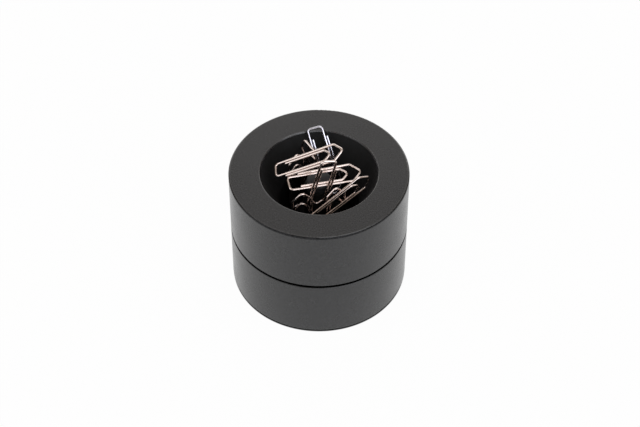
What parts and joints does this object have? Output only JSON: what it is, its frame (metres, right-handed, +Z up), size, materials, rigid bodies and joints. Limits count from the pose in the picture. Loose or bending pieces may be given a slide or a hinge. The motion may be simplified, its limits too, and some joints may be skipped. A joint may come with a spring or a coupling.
{
  "type": "magnetic paper clip holder",
  "caption": "Round desk holder with a charcoal two-part housing, a black funnel bowl with a magnet post in the middle, and bent-wire paper clips clinging to the magnet.",
  "frame": {"origin": "centre of the footprint, on the desk under the rubber feet", "axes": "+Z up along the axis of the housing, -Y towards the user"},
  "size_m": [0.073, 0.073, 0.0702],
  "materials": {
    "charcoal_plastic": "fine matte grain from the mould",
    "black_plastic": "satin",
    "ferrite": "ground face of a pressed and sintered magnet",
    "steel": "turned steel",
    "zinc_plate": "zinc plated",
    "rubber": "matte",
    "clip_wire": "drawn and nickel-plated steel wire"
  },
  "bodies": {
    "base": {"base_cup": "charcoal_plastic", "clip_bowl": "black_plastic", "magnet_post": "black_plastic", "magnet": "ferrite", "pole_piece": "steel", "post_screw": "zinc_plate", "screw_washer": "zinc_plate", "ballast_ring": "steel", "rubber_feet": "rubber"},
    "cover": {"cover_ring": "charcoal_plastic"},
    "clip_lowest_flat": {"clip_lowest_flat": "clip_wire"},
    "clip_front_flat": {"clip_front_flat": "clip_wire"},
    "clip_back_flat": {"clip_back_flat": "clip_wire"},
    "clip_back_upright": {"clip_back_upright": "clip_wire"},
    "clip_front_upright": {"clip_front_upright": "clip_wire"},
    "clip_right_leaning": {"clip_right_leaning": "clip_wire"},
    "clip_back_slanting": {"clip_back_slanting": "clip_wire"},
    "clip_left_standing": {"clip_left_standing": "clip_wire"},
    "clip_front_standing": {"clip_front_standing": "clip_wire"},
    "clip_right_standing": {"clip_right_standing": "clip_wire"}
  },
  "joints": [
    {"name": "cover_lift", "type": "slide", "parent": "base", "child": "cover", "axis": [0, 0, 1], "range_m": [0, 0.035]},
    {"name": "lowest_flat_lift", "type": "slide", "parent": "base", "child": "clip_lowest_flat", "axis": [0, 0, 1], "range_m": [0, 0.04]},
    {"name": "front_flat_lift", "type": "slide", "parent": "clip_lowest_flat", "child": "clip_front_flat", "axis": [0, 0, 1], "range_m": [0, 0.025]},
    {"name": "back_flat_lift", "type": "slide", "parent": "clip_front_flat", "child": "clip_back_flat", "axis": [0, 0, 1], "range_m": [0, 0.025]},
    {"name": "back_upright_draw", "type": "slide", "parent": "base", "child": "clip_back_upright", "axis": [0, 0, 1], "range_m": [0, 0.05]},
    {"name": "front_upright_draw", "type": "slide", "parent": "base", "child": "clip_front_upright", "axis": [0.2346, 0.0235, 0.9718], "range_m": [0, 0.06]},
    {"name": "right_leaning_lift", "type": "slide", "parent": "base", "child": "clip_right_leaning", "axis": [0, 0, 1], "range_m": [0, 0.035]},
    {"name": "back_slanting_draw", "type": "slide", "parent": "base", "child": "clip_back_slanting", "axis": [-0.2798, 0.2598, 0.9242], "range_m": [0, 0.032]},
    {"name": "left_standing_draw", "type": "slide", "parent": "base", "child": "clip_left_standing", "axis": [0, 0, 1], "range_m": [0, 0.04]},
    {"name": "front_standing_draw", "type": "slide", "parent": "base", "child": "clip_front_standing", "axis": [0, 0, 1], "range_m": [0, 0.035]},
    {"name": "right_standing_draw", "type": "slide", "parent": "base", "child": "clip_right_standing", "axis": [0, 0, 1], "range_m": [0, 0.035]}
  ]
}
